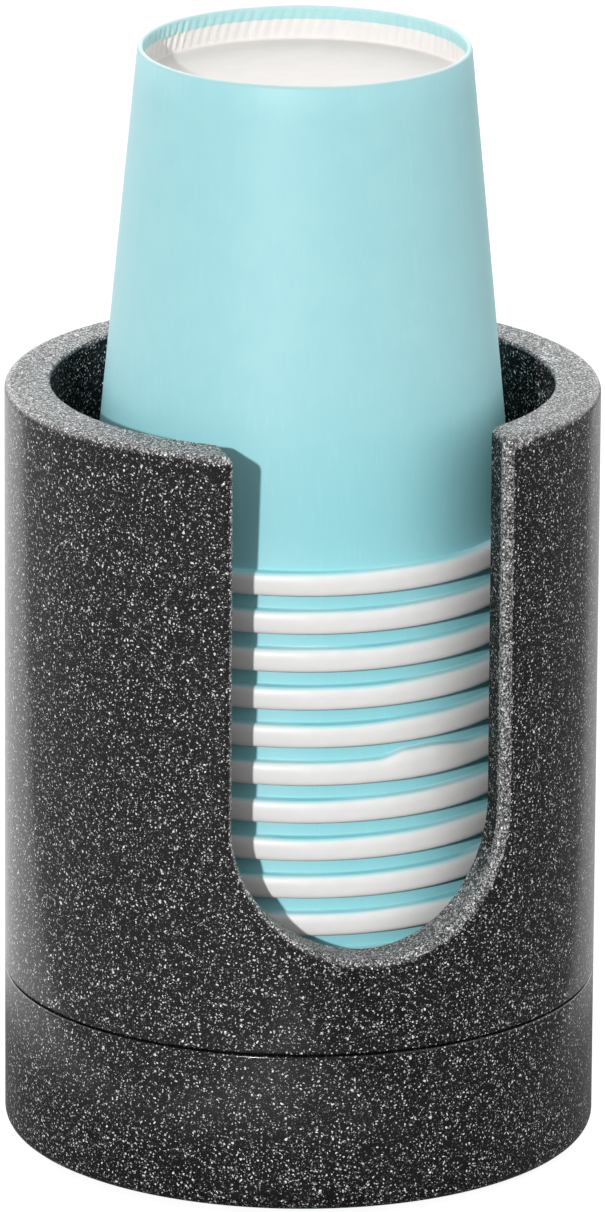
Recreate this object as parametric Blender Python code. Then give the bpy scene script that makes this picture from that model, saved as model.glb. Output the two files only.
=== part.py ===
"""Countertop paper cup dispenser with a finger slot, holding a nested stack of paper cups.

The heavy base stands on a foot pad and carries a low round spigot. The slotted sleeve drops
over the spigot and rests on the shoulder round it. The cups stand upside down on the spigot,
each nested over the one below, so that the next cup is pulled off the top.

Units are metres and +Z is up. The origin is the centre of the foot pad's underside, and the
slot faces -Y.
"""

from math import asin, atan2, cos, pi, sin, sqrt

import bmesh
import bpy
from mathutils import Vector

# Paper cup, of the 5 oz bathroom size
CUP_COUNT = 12
CUP_HEIGHT = 0.0744
CUP_RIM_RADIUS = 0.0330
CUP_TAPER_SHARE = 0.0954
PAPER = 0.0003
CURL_HEIGHT = 0.00345
CURL_WIDTH = 0.0017
RECESS_DEPTH = 0.00518
FLAP_DEPTH = 0.0020
HEM_CLEARANCE = 0.00015
WALL_CLEARANCE = 0.0001
STACK_CLEARANCE = 0.0003

# Sleeve: the tube with the finger slot
BORE_CLEARANCE = 0.00425
SLEEVE_WALL = 0.00675
SLEEVE_HEIGHT = 0.0903
OUTER_EDGE_ROUND = 0.0015
INNER_EDGE_ROUND = 0.0006
SLOT_HALF_WIDTH = 0.0202
SLOT_SILL_HEIGHT = 0.0113
SLOT_CORNER_LEAD = 0.0007

# Base: the weighted foot with the spigot that the sleeve and the cups sit on
BASE_HEIGHT = 0.0241
BASE_FOOT_ROUND = 0.0020
SEAM_GAP = 0.0003
SEAM_EDGE_ROUND = 0.0003
SPIGOT_HEIGHT = 0.0030
SPIGOT_CLEARANCE = 0.0003
SPIGOT_CHAMFER = 0.0008

# Foot pad, let into the underside of the base
PAD_MARGIN = 0.0060
PAD_THICKNESS = 0.0015
PAD_STAND_PROUD = 0.0008
PAD_SEAT_GAP = 0.0003

# Smoothness of the faceted surfaces
CUP_SEGMENTS = 28
ROUND_SEGMENTS = 40
PAD_SEGMENTS = 28
RIM_STEPS = 32
SILL_STEPS = 12
CORNER_STEPS = 2
OUTER_ROUND_STEPS = 2
INNER_ROUND_STEPS = 1
FOOT_ROUND_STEPS = 4
CURL_ANGLES = (1.05, 0.42, -0.42, -1.05, -0.5 * pi)
MERGE_DISTANCE = 0.000001

# Radii that the fits give
CUP_WALL_RIM_RADIUS = CUP_RIM_RADIUS - CURL_WIDTH + PAPER
HEM_THICKNESS = 3 * PAPER + 2 * HEM_CLEARANCE
BORE_RADIUS = CUP_RIM_RADIUS + BORE_CLEARANCE
BODY_RADIUS = BORE_RADIUS + SLEEVE_WALL
SPIGOT_RADIUS = BORE_RADIUS - SPIGOT_CLEARANCE
PAD_POCKET_RADIUS = BODY_RADIUS - BASE_FOOT_ROUND - PAD_MARGIN

# Heights above the surface that the dispenser stands on
BASE_UNDERSIDE = PAD_STAND_PROUD
SHOULDER = BASE_UNDERSIDE + BASE_HEIGHT
FLOOR = SHOULDER + SPIGOT_HEIGHT
SLEEVE_BOTTOM = SHOULDER + SEAM_GAP
SLEEVE_TOP = SLEEVE_BOTTOM + SLEEVE_HEIGHT
SLOT_SILL = FLOOR + SLOT_SILL_HEIGHT
SLOT_CENTRE = SLOT_SILL + SLOT_HALF_WIDTH
SLOT_CORNER_RADIUS = OUTER_EDGE_ROUND + SLOT_CORNER_LEAD
LOWEST_RIM = FLOOR + STACK_CLEARANCE


def clear_scene():
    for item in list(bpy.data.objects):
        bpy.data.objects.remove(item, do_unlink=True)


def principled(name, color, roughness):
    material = bpy.data.materials.new(name)
    material.use_nodes = True
    shader = material.node_tree.nodes["Principled BSDF"]
    shader.inputs["Base Color"].default_value = (*color, 1.0)
    shader.inputs["Roughness"].default_value = roughness
    shader.inputs["Metallic"].default_value = 0.0
    material.diffuse_color = (*color, 1.0)
    return material


def finish_mesh(name, mesh, material):
    """Turn an edited mesh into smooth mesh data with outward faces and crisp hard edges."""
    bmesh.ops.remove_doubles(mesh, verts=mesh.verts, dist=MERGE_DISTANCE)
    bmesh.ops.recalc_face_normals(mesh, faces=mesh.faces)
    data = bpy.data.meshes.new(name)
    mesh.to_mesh(data)
    mesh.free()
    data.materials.append(material)
    data.shade_smooth()
    data.set_sharp_from_angle(angle=0.25 * pi)
    return data


def revolve(name, profile, segments, material, closed):
    """Turn a profile of radius and height about +Z; a closed one makes a ring."""
    mesh = bmesh.new()
    points = [mesh.verts.new((radius, 0, height)) for radius, height in profile]
    lines = [mesh.edges.new(pair) for pair in zip(points, points[1:])]
    if closed:
        lines.append(mesh.edges.new((points[-1], points[0])))
    bmesh.ops.spin(
        mesh,
        geom=points + lines,
        cent=(0, 0, 0),
        axis=(0, 0, 1),
        angle=2 * pi,
        steps=segments,
        use_merge=True,
    )
    return finish_mesh(name, mesh, material)


def add_object(name, data, parent=None, height=0.0):
    """Place mesh data on the vertical axis, at a height above its parent's origin."""
    item = bpy.data.objects.new(name, data)
    bpy.context.scene.collection.objects.link(item)
    item.parent = parent
    item.location = (0, 0, height)
    return item


def quarter_round(corner, start, end, steps):
    """Points of a rounded corner that leaves start and reaches end square to both faces."""
    points = []
    for step in range(steps + 1):
        turn = 0.5 * pi * step / steps
        points.append(corner + (start - corner) * (1 - sin(turn)) + (end - corner) * (1 - cos(turn)))
    return points


# Sleeve


def point_across(radius, across, height):
    """Point on the front of a cylinder, at a distance across from the middle plane."""
    return Vector((across, -sqrt(radius ** 2 - across ** 2), height))


def sill_station(turn):
    """Place on the round bottom of the slot: turn 0 is its right end, pi its left end."""
    def place(radius, inset):
        reach = SLOT_HALF_WIDTH + inset
        return point_across(radius, reach * cos(turn), SLOT_CENTRE - reach * sin(turn))
    return place


def corner_station(side, turn):
    """Place on the rounded top corner of the slot: turn 0 is its side, a right angle its rim."""
    def place(radius, inset):
        reach = SLOT_CORNER_RADIUS - inset
        across = SLOT_HALF_WIDTH + SLOT_CORNER_RADIUS - reach * cos(turn)
        height = SLEEVE_TOP - SLOT_CORNER_RADIUS + reach * sin(turn)
        return point_across(radius, side * across, height)
    return place


def rim_station(share):
    """Place on the sleeve's rim, from the left corner of the slot round the back to the right."""
    def place(radius, inset):
        corner = asin((SLOT_HALF_WIDTH + SLOT_CORNER_RADIUS) / radius)
        turn = -corner - (2 * pi - 2 * corner) * share
        return Vector((radius * sin(turn), -radius * cos(turn), SLEEVE_TOP - inset))
    return place


def edge_stations():
    """The closed path of the sleeve's upper edge: down and up the slot, then round the rim."""
    corner = [0.5 * pi * step / CORNER_STEPS for step in range(CORNER_STEPS + 1)]
    sill = [pi * step / SILL_STEPS for step in range(SILL_STEPS + 1)]
    rim = [step / RIM_STEPS for step in range(1, RIM_STEPS)]
    path = [corner_station(1, turn) for turn in reversed(corner)]
    path += [sill_station(turn) for turn in sill]
    path += [corner_station(-1, turn) for turn in corner]
    path += [rim_station(share) for share in rim]
    return path


def edge_section(place):
    """The rounded edge at one station, from the outer face through the wall to the bore."""
    outer = place(BODY_RADIUS, 0)
    inner = place(BORE_RADIUS, 0)
    through = (inner - outer).normalized()
    outer_end = place(BODY_RADIUS, OUTER_EDGE_ROUND)
    inner_end = place(BORE_RADIUS, INNER_EDGE_ROUND)
    points = quarter_round(outer, outer_end, outer + through * OUTER_EDGE_ROUND, OUTER_ROUND_STEPS)
    points += quarter_round(inner, inner - through * INNER_EDGE_ROUND, inner_end, INNER_ROUND_STEPS)
    return points


def foot_point(above, radius, height):
    """Point of the given radius and height, straight in or out from a point above it."""
    turn = atan2(above.x, -above.y)
    return Vector((radius * sin(turn), -radius * cos(turn), height))


def bridge(mesh, path, next_path):
    for first, second, third, fourth in zip(path, path[1:], next_path[1:], next_path):
        mesh.faces.new((first, second, third, fourth))


def wall_column(ends, feet, index):
    """Corners of the wall below one station, foot first, with any lower station's end between."""
    column = [feet[index]]
    lower = [end for end, foot in zip(ends, feet) if foot is feet[index] and end.co.z < ends[index].co.z]
    return column + lower + [ends[index]]


def build_sleeve(material):
    """Sweep the edge's section round its path, then drop the walls to the seam and close them."""
    mesh = bmesh.new()
    sections = []
    for place in edge_stations():
        sections.append([mesh.verts.new(point) for point in edge_section(place)])
    feet = []
    for section in sections:
        seat = [
            (section[0].co, BODY_RADIUS, SLEEVE_BOTTOM + SEAM_EDGE_ROUND),
            (section[0].co, BODY_RADIUS - SEAM_EDGE_ROUND, SLEEVE_BOTTOM),
            (section[-1].co, BORE_RADIUS + SEAM_EDGE_ROUND, SLEEVE_BOTTOM),
            (section[-1].co, BORE_RADIUS, SLEEVE_BOTTOM + SEAM_EDGE_ROUND),
        ]
        new_foot = [foot_point(*values) for values in seat]
        if feet and (feet[-1][0].co - new_foot[0]).length < MERGE_DISTANCE:
            feet.append(feet[-1])
        else:
            feet.append([mesh.verts.new(point) for point in new_foot])
    outer_ends = [section[0] for section in sections]
    inner_ends = [section[-1] for section in sections]
    outer_feet = [foot[0] for foot in feet]
    inner_feet = [foot[-1] for foot in feet]
    for index in range(len(sections)):
        after = (index + 1) % len(sections)
        bridge(mesh, sections[index], sections[after])
        if feet[index] is feet[after]:
            continue
        bridge(mesh, feet[index], feet[after])
        for ends, bases in ((outer_ends, outer_feet), (inner_ends, inner_feet)):
            here = wall_column(ends, bases, index)
            there = wall_column(ends, bases, after)
            mesh.faces.new(here + there[::-1])
    return finish_mesh("sleeve", mesh, material)


# Base and foot pad


def build_base(material):
    foot_centre = BODY_RADIUS - BASE_FOOT_ROUND
    pocket_ceiling = PAD_THICKNESS + PAD_SEAT_GAP
    profile = [
        (0, FLOOR),
        (SPIGOT_RADIUS - SPIGOT_CHAMFER, FLOOR),
        (SPIGOT_RADIUS, FLOOR - SPIGOT_CHAMFER),
        (SPIGOT_RADIUS, SHOULDER),
        (BODY_RADIUS - SEAM_EDGE_ROUND, SHOULDER),
        (BODY_RADIUS, SHOULDER - SEAM_EDGE_ROUND),
    ]
    for step in range(FOOT_ROUND_STEPS + 1):
        turn = 0.5 * pi * step / FOOT_ROUND_STEPS
        radius = foot_centre + BASE_FOOT_ROUND * cos(turn)
        profile.append((radius, BASE_UNDERSIDE + BASE_FOOT_ROUND * (1 - sin(turn))))
    profile += [
        (PAD_POCKET_RADIUS, BASE_UNDERSIDE),
        (PAD_POCKET_RADIUS, pocket_ceiling),
        (0, pocket_ceiling),
    ]
    return revolve("base", profile, ROUND_SEGMENTS, material, closed=False)


def build_foot_pad(material):
    radius = PAD_POCKET_RADIUS - PAD_SEAT_GAP
    profile = [(0, PAD_THICKNESS), (radius, PAD_THICKNESS), (radius, 0), (0, 0)]
    return revolve("foot_pad", profile, PAD_SEGMENTS, material, closed=False)


# Cups, each drawn upside down with its rolled rim at height 0


def cup_radius(height):
    """Outside radius of the side wall, which narrows from the rim to the base."""
    return CUP_WALL_RIM_RADIUS - CUP_TAPER_SHARE * height


def nest_pitch():
    """A cup sinks over the one below until its floor or its wall would touch."""
    floor_stop = RECESS_DEPTH + PAPER + STACK_CLEARANCE
    wall_stop = (PAPER + WALL_CLEARANCE) / CUP_TAPER_SHARE
    return max(floor_stop, wall_stop)


def build_cup_wall(material):
    """Side wall with its rolled rim, and at the top the hem that folds over the floor's skirt."""
    curl_centre = CUP_RIM_RADIUS - 0.5 * CURL_WIDTH
    curl_middle = 0.5 * CURL_HEIGHT
    curl_crease = CURL_HEIGHT - PAPER
    shoulder = CUP_HEIGHT - PAPER
    flap_end = CUP_HEIGHT - FLAP_DEPTH
    profile = [
        (cup_radius(CUP_HEIGHT) - 0.5 * HEM_THICKNESS, CUP_HEIGHT),
        (cup_radius(shoulder), shoulder),
        (cup_radius(curl_crease), curl_crease),
    ]
    for turn in CURL_ANGLES:
        profile.append((curl_centre + 0.5 * CURL_WIDTH * cos(turn), curl_middle * (1 + sin(turn))))
    profile += [
        (cup_radius(PAPER) - PAPER, PAPER),
        (cup_radius(shoulder) - PAPER, shoulder),
        (cup_radius(shoulder) - HEM_THICKNESS + PAPER, shoulder),
        (cup_radius(flap_end) - HEM_THICKNESS + PAPER, flap_end),
        (cup_radius(flap_end) - HEM_THICKNESS, flap_end),
        (cup_radius(shoulder) - HEM_THICKNESS, shoulder),
    ]
    return revolve("cup_wall", profile, CUP_SEGMENTS, material, closed=True)


def build_cup_bottom(material):
    """Recessed floor disc, whose skirt stands up inside the hem of the side wall."""
    disc_top = CUP_HEIGHT - RECESS_DEPTH
    disc_under = disc_top - PAPER
    skirt_top = CUP_HEIGHT - PAPER - HEM_CLEARANCE
    skirt_outside = PAPER + HEM_CLEARANCE
    skirt_inside = skirt_outside + PAPER
    profile = [
        (0, disc_top),
        (cup_radius(disc_top) - skirt_inside, disc_top),
        (cup_radius(skirt_top) - skirt_inside, skirt_top),
        (cup_radius(skirt_top) - skirt_outside, skirt_top),
        (cup_radius(disc_under) - skirt_outside, disc_under),
        (0, disc_under),
    ]
    return revolve("cup_bottom", profile, CUP_SEGMENTS, material, closed=False)


def stack_cups(base, print_paper, white_paper):
    """Each cup hangs on the one below, so a lifted cup carries those above it."""
    wall_mesh = build_cup_wall(print_paper)
    bottom_mesh = build_cup_bottom(white_paper)
    carrier = base
    rise = LOWEST_RIM
    for number in range(1, CUP_COUNT + 1):
        wall = add_object(f"cup_{number:02d}_wall", wall_mesh, carrier, rise)
        add_object(f"cup_{number:02d}_bottom", bottom_mesh, wall)
        carrier = wall
        rise = nest_pitch()


def main():
    clear_scene()
    stone = principled("speckled_charcoal", (0.040, 0.042, 0.045), 0.55)
    base_stone = principled("speckled_charcoal_base", (0.038, 0.040, 0.043), 0.58)
    foam = principled("black_foam", (0.012, 0.012, 0.013), 0.90)
    print_paper = principled("turquoise_cup_paper", (0.415, 0.730, 0.780), 0.55)
    white_paper = principled("white_cup_paper", (0.800, 0.790, 0.775), 0.50)

    base = add_object("base", build_base(base_stone))
    add_object("foot_pad", build_foot_pad(foam), base)
    add_object("sleeve", build_sleeve(stone), base)
    stack_cups(base, print_paper, white_paper)


main()
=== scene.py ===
"""Looks of the cup dispenser: speckled cast stone, printed paper cups and plain studio light."""

from math import asin, atan2, cos, exp, pi, radians, sin, sqrt

import bmesh
import bpy
from mathutils import Matrix, Vector


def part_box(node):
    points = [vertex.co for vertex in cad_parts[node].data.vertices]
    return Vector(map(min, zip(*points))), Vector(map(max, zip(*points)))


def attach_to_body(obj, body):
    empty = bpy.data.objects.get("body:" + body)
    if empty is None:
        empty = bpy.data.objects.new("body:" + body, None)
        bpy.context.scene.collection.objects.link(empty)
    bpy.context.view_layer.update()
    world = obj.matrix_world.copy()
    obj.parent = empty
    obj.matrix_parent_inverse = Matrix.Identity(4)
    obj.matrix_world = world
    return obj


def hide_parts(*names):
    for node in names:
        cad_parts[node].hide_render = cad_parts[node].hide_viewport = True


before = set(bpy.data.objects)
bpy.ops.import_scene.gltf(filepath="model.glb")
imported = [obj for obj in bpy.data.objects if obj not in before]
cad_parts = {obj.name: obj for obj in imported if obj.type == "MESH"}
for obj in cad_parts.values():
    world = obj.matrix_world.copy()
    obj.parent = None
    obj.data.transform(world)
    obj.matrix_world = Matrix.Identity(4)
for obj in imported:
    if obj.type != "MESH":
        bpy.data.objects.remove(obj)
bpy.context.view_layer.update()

# Sizes that the CAD fixes, in metres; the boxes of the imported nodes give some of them
BASE_LOW, BASE_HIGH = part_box("base")
SLEEVE_LOW, SLEEVE_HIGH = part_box("sleeve")
PAD_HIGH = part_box("foot_pad")[1]
CUP_LOW, CUP_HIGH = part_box("cup_01_wall")
SECOND_CUP_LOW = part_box("cup_02_wall")[0]

BODY_RADIUS = BASE_HIGH[0]
BASE_UNDERSIDE = BASE_LOW[2]
FLOOR = BASE_HIGH[2]
SPIGOT_HEIGHT = 0.0030
SPIGOT_CLEARANCE = 0.0003
SPIGOT_CHAMFER = 0.0008
SHOULDER = FLOOR - SPIGOT_HEIGHT
BASE_FOOT_ROUND = 0.0020
PAD_RADIUS = PAD_HIGH[0]
PAD_SEAT_GAP = 0.0003
PAD_EDGE_ROUND = 0.0003

SLEEVE_WALL = 0.00675
BORE_RADIUS = BODY_RADIUS - SLEEVE_WALL
SLEEVE_BOTTOM = SLEEVE_LOW[2]
SLEEVE_TOP = SLEEVE_HIGH[2]
SEAM_EDGE_ROUND = 0.0003
SLOT_HALF_WIDTH = 0.0202
SILL_HEIGHT = 0.0113
SLOT_CENTRE = FLOOR + SILL_HEIGHT + SLOT_HALF_WIDTH

CUP_COUNT = 12
CUP_HEIGHT = CUP_HIGH[2] - CUP_LOW[2]
LOWEST_RIM = CUP_LOW[2]
NEST_PITCH = SECOND_CUP_LOW[2] - CUP_LOW[2]
CUP_RIM_RADIUS = 0.0330
CUP_TAPER_SHARE = 0.0954
CAD_PAPER = 0.0003
CURL_HEIGHT = 0.00345
CURL_WIDTH = 0.0017
RECESS_DEPTH = 0.00518
FLAP_DEPTH = 0.0020
CUP_WALL_RIM_RADIUS = CUP_RIM_RADIUS - CURL_WIDTH + CAD_PAPER

# Round edges of the sleeve, a little tighter than in the CAD, and the narrow face beside each
# rounding that keeps the flat next to it flat
OUTER_EDGE_ROUND = 0.0014
INNER_EDGE_ROUND = 0.0005
SLOT_CORNER_RADIUS = 0.0012
EDGE_SUPPORT = 0.0002

# Grinding of the sleeve's upper edge, in steps of its rounding from the outer face: where it
# starts on an upright face, how much sooner on a face that looks up and on a worn one, where it
# also paints light, and over how many steps it grows
GRINDING_START = 3
LEVEL_LEAD = 2
WORN_AND_LIT_LEAD = 4.5
GRINDING_STEPS = 3.5

# How far beyond the rounding the wear reaches and how strong it is there, how far into the cut
# face the grinding settles, its share on the bore's edge, the length of rim over which the wear
# fades, and the left side's share of the right side's wear. The wear is also painted light: heavy
# on the slot's right side, where the key light falls, and slight at its left, which is in shade
WORN_AND_LIT_MARGIN = 0.0004
MARGIN_WEAR_AND_LIGHT = 0.9
WALL_GRINDING = 0.0015
BORE_EDGE_GRINDING = 0.5
WORN_AND_LIT_FADE = 0.0080
LEFT_WEAR_AND_LIGHT = 0.20

# Cut faces that look up less than this are the slot's upright walls
UPRIGHT = 0.35

# Sizes of the real paper and its folds, finer than in the CAD
PAPER = 0.00027
HEM_THICKNESS = 0.00083
SKIRT_CLEARANCE = 0.00001
SEAM_LAP = 0.0070
SEAM_EDGE_ANGLE = 0.0012
KNURL_COUNT = 96
KNURL_DEPTH = 0.00014
KNURL_SLANT = radians(16)
DISC_TOP = CUP_HEIGHT - RECESS_DEPTH
DISC_UNDERSIDE = DISC_TOP - PAPER
DISC_CORNER_ROUND = 0.0005
DISC_SAG = 0.00015
SKIRT_OUTSIDE = PAPER + SKIRT_CLEARANCE
SKIRT_INSIDE = SKIRT_OUTSIDE + PAPER
RIM_FILLET = 0.0003

# Section of the rolled rim: how far it turns, and how square its upper and lower halves are,
# where 1 is round
CURL_TURN = radians(228)
CURL_TOP_SHAPE = 0.90
CURL_FOOT_SHAPE = 0.56

# The print ends on the rim's rounded top: height, half the width of its soft end, and its waves
PRINT_END = 0.00322
PRINT_FADE = 0.00024
PRINT_WANDER = 0.00009
PRINT_WAVES = ((3, 1.0), (7, 0.7), (12, 0.5))
PRINT_SLIP = 0.2

# Swelling of a rim over its side seam: where it starts, is full, starts to sink and ends, and
# how much of it goes outwards
SWELL = (-0.0025, 0.0025, 0.0060, 0.0160)
SWELL_OUTWARD = 0.3
BULGED_CUP = 7
RIM_BULGE = 0.00095
PLAIN_BULGE = 0.00010

# Creases beside the side seam, where the lap makes the hem bunch: distance from the seam at
# the hem's top, and sideways run for each metre below it
CREASES = ((0.0003, 0.18), (0.0019, 0.19), (0.0031, 0.02), (0.0044, 0.0))
CREASE_WIDTH = 0.00018
CREASE_DEPTH = 0.00018
CREASE_TOP_SHARE = 0.4
CREASE_SPAN = 0.0056
CREASE_COLUMNS = 64

# Where each cup's side seam points, in degrees from the slot's middle to its right, lowest first,
# and how far round a seam can still be seen through the slot
SEAM_DIRECTIONS = (150, 222, 118, 265, 190, 98, 10, 9, 170, 285, 132, 212)
SLOT_VIEW = 40

# Mesh fineness
SILL_STEPS = 72
CORNER_STEPS = 10
RIM_STEPS = 220
OUTER_ROUND_STEPS = 8
INNER_ROUND_STEPS = 5
ROUND_SEGMENTS = 256
FOOT_ROUND_STEPS = 8
CHAMFER_STEPS = 4
SMALL_ROUND_STEPS = 3
PAD_SEGMENTS = 128
CUP_SEGMENTS = 4 * KNURL_COUNT
HEM_STEPS = 6
CURL_STEPS = 24
FILLET_STEPS = 4
WALL_ROWS = 14
FLAP_STEPS = 5
DISC_RINGS = (0.25, 0.6, 0.97)
DISC_CORNER_STEPS = 4
SKIRT_STEPS = 6
MERGE_DISTANCE = 0.0000005
STONE_SHARP_ANGLE = radians(40)
PAPER_SHARP_ANGLE = radians(50)

# Values painted on the meshes: how far the casting is ground back at its rim and its slot, with
# painted light where its edge is worn, how matt its cut faces are, and how far a point of a cup
# lies above the end of the print
GROUND = "ground"
MATT = "matt"
PRINTED = "printed"

# Material slots: the sleeve's slot walls, and a cup's printed face, plain face and folded hem
SLOT_WALL = 1
INK = 0
WHITE = 1
HEM = 2

# Specks of the stone in three layers, finest first: cells to the metre, smallest and largest
# size as shares of a cell, share of the cells that hold one, and darkest and brightest grey
DUST = (4300.0, (0.28, 0.50), 0.38, (0.015, 0.16))
GRAINS = (3200.0, (0.26, 0.46), 0.37, (0.05, 0.60))
FLAKES = (1800.0, (0.15, 0.31), 0.76, (0.50, 0.95))
SPECK_CORE = 0.82
FLAKE_TINT = (1.0, 1.0, 0.99)

# What grinding adds to the largest size and to the share, and the brightest grey it lays open
GROUND_DUST = (0.16, 0.62, 0.60)
GROUND_GRAINS = (0.12, 0.47, 0.85)

# Resin between the specks, as a grey and its tint: two tones of the cast skin, and ground resin
SKIN_DARK = (0.004, (0.97, 1.0, 1.04))
SKIN_LIGHT = (0.009, (0.97, 1.0, 1.03))
GROUND_RESIN = 0.035

# Push that keeps the specks from being all round, and the base's own place in the pattern
SPECK_WARP = 0.0008
BASE_STONE_SHIFT = (0.31, 0.17, 0.23)

# Painted shade along the seam between sleeve and base: half the height where it is full and where it
# ends, and its strength
SEAM_SHADE_MIDDLE = 0.5 * (SHOULDER + SLEEVE_BOTTOM)
SEAM_SHADE_FULL = 0.00015
SEAM_SHADE_END = 0.00038
SEAM_SHADE_STRENGTH = 0.9

# Relief of the surfaces, as a depth in metres and a strength: the skin's waves, the grains, the
# fine texture and the matt faces' tooth on the stone, and the cells of the foam
WAVE_RELIEF = (0.00002, 0.5)
GRAIN_RELIEF = (0.000015, 0.5)
FINE_RELIEF = (0.000004, 0.6)
TOOTH_RELIEF = (0.00008, 1.0)
FOAM_RELIEF = (0.00004, 1.0)

# Depths of the cup paper's fibres and tooth, in metres, and their strength on printed paper
FIBRE_DEPTH = 0.000010
PAPER_TOOTH_DEPTH = 0.000004
PRINT_RELIEF = 0.5

# Noises, in waves to the metre: clouds, waves, gloss, push, ragged edge, tooth and fine texture
# of the stone; fibres, tooth and mottle of the paper; mottle of the ink; and patches rubbed off;
# then how far the fibres are drawn out along the cup, and how ragged the edge of grinding is
CLOUD_NOISE = 260.0
WAVE_NOISE = 700.0
GLOSS_NOISE = 900.0
PUSH_NOISE = 1300.0
EDGE_NOISE = 1400.0
TOOTH_NOISE = 2800.0
FINE_NOISE = 5200.0
FIBRE_NOISE = 1500.0
PAPER_TOOTH_NOISE = 4200.0
PAPER_NOISE = 340.0
INK_NOISE = 210.0
PATCH_NOISE = 45.0
FIBRE_STRETCH = (1.0, 1.0, 0.14)
RAGGEDNESS = 0.35

# Gloss of the stone: roughness of the skin, what a matt face adds to it, and reflectivity
SKIN_ROUGHNESS = (0.14, 0.20)
MATT_ROUGHNESS = 0.45
STONE_SPECULAR = 0.5
SLOT_WALL_SPECULAR = 0.06

# Foam of the pad: cells to the metre, greys and roughness from a cell's middle to its wall
FOAM_CELLS = 2600.0
FOAM_TONES = (0.008, 0.020)
FOAM_ROUGHNESS = (0.95, 0.80)
FOAM_SPECULAR = 0.5

# Inks of the cup: two tones of the mottle, a darker ink low on the wall, which paints the shade
# between the nested rims and inside the sleeve, with the heights where it is full and where it
# ends, ink worn on the fibres and thin at the end of the print, the two tones on the hem, and ink
# rubbed off the fold with the depths where that starts and is full
PRINT_INKS = ((0.338, 0.664, 0.709, 1.0), (0.358, 0.684, 0.724, 1.0))
PAINTED_SHADE_INK = (0.278, 0.640, 0.690, 1.0)
PAINTED_SHADE_HEIGHTS = (0.010, 0.035)
WORN_INK = (0.62, 0.83, 0.86, 1.0)
FIBRE_WEAR = 0.12
THIN_END = (0.9, 1.3, 0.40, 0.0)
HEM_INKS = ((0.375, 0.622, 0.637, 1.0), (0.400, 0.642, 0.652, 1.0))
RUBBED_INK = (0.78, 0.84, 0.85, 1.0)
FOLD_DEPTHS = (0.00018, 0.00003)
FOLD_RUB = 0.5

# Gloss of the cup: roughness of its rim's paper, what the print adds to it, the print's clear
# coat, the hem's roughness, and the reflectivity of the ink
RIM_ROUGHNESS = 0.38
PRINT_ROUGHNESS = (0.12, 0.22)
PRINT_COAT = 0.90
PRINT_COAT_ROUGHNESS = 0.50
HEM_ROUGHNESS = (0.50, 0.60)
INK_SPECULAR = 0.20

# White papers: color, roughness, relief and reflectivity, how dark their mottle goes, and how
# much their roughness wanders
RIM_WHITE = (0.80, 0.795, 0.785)
DISC_WHITE = (0.745, 0.718, 0.700)
COATED_PAPER = (RIM_WHITE, 0.36, 0.3, 0.5)
DISC_PAPER = (DISC_WHITE, 0.70, 0.6, 0.05)
MOTTLE_SHADE = 0.965
ROUGHNESS_SWING = 0.04

# Camera, fitted to the outlines in the photograph
CAMERA_AZIMUTH = radians(-14.6)
CAMERA_REACH = 1.6990
CAMERA_HEIGHT = 0.59675
CAMERA_PITCH = 0.29501
CAMERA_ROLL = 0.00630
CAMERA_OFFSET = 0.00016
CAMERA_LENS = 355.67
CAMERA_SENSOR = 36.0

# Key light; angles are from the camera's side, positive to its right
KEY_AZIMUTH = radians(-17.7)
KEY_ELEVATION = radians(18.5)
KEY_STRENGTH = 2.45
KEY_SPREAD = radians(1.9)

# Soft lights of the studio: azimuth and elevation in degrees, how narrow, and how strong
WORLD_LEVEL = 0.08
SOFT_LIGHTS = (
    (180, 15, 1.5, 1.40),
    (180, 17, 8.0, 1.35),
    (-125, 10, 6.0, 1.80),
    (-85, 10, 3.0, 0.30),
    (95, 10, 2.0, 0.85),
    (55, 5, 3.0, 0.66),
    (0, 90, 1.5, 0.27),
)

# White sweep that the gloss mirrors: a wedge of floor that opens backwards from its tip in front,
# brighter at the left than at the right and a little weaker in the middle, and a weak glow beside
# it at the left; it starts clear of the object
SWEEP_TIP = 0.150
SWEEP_AZIMUTH = radians(-175.8)
SWEEP_HALF_WIDTH = radians(32)
SWEEP_SOFTNESS = radians(2)
SWEEP_LEFT_LEVEL = 0.80
SWEEP_RIGHT_LEVEL = 0.38
SWEEP_LEVEL_BLEND = 0.3
SWEEP_NARROW = radians(13)
SWEEP_WIDE = radians(29)
SWEEP_MIDDLE_SHARE = 0.85
SWEEP_SIDE_LEVEL = 0.18
SWEEP_SIDE_FADE = (-0.8, -0.2)
SWEEP_START = 0.065
SWEEP_FULL = 0.105

# The floor itself: how white the camera sees it, its two greys in the studio's light and the
# noise between them, its surface and its size
FLOOR_LEVEL = 0.92
FLOOR_TONES = (0.14, 0.18)
FLOOR_NOISE = 40.0
FLOOR_ROUGHNESS = 0.9
FLOOR_SPECULAR = 0.1
STAGE_RADIUS = 3.0
STAGE_SEGMENTS = 96


# Mesh helpers


def mesh_object(name, mesh, materials, sharp_angle=STONE_SHARP_ANGLE):
    """Turn an edited mesh into a smooth object with outward faces and crisp hard edges."""
    bmesh.ops.remove_doubles(mesh, verts=mesh.verts, dist=MERGE_DISTANCE)
    bmesh.ops.recalc_face_normals(mesh, faces=mesh.faces)
    data = bpy.data.meshes.new(name)
    mesh.to_mesh(data)
    mesh.free()
    for material in materials:
        data.materials.append(material)
    data.shade_smooth()
    data.set_sharp_from_angle(angle=sharp_angle)
    item = bpy.data.objects.new(name, data)
    bpy.context.scene.collection.objects.link(item)
    return item


def ring_faces(mesh, ring, next_ring):
    """Faces between two closed rings of points, in their order round the rings."""
    corners = zip(ring, ring[1:] + ring[:1], next_ring[1:] + next_ring[:1], next_ring)
    return [mesh.faces.new(four) for four in corners]


def close_ring(mesh, ring, height):
    """Fan of faces from a closed ring to a point on the axis."""
    middle = mesh.verts.new((0, 0, height))
    for first, second in zip(ring, ring[1:] + ring[:1]):
        mesh.faces.new((middle, first, second))


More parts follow.
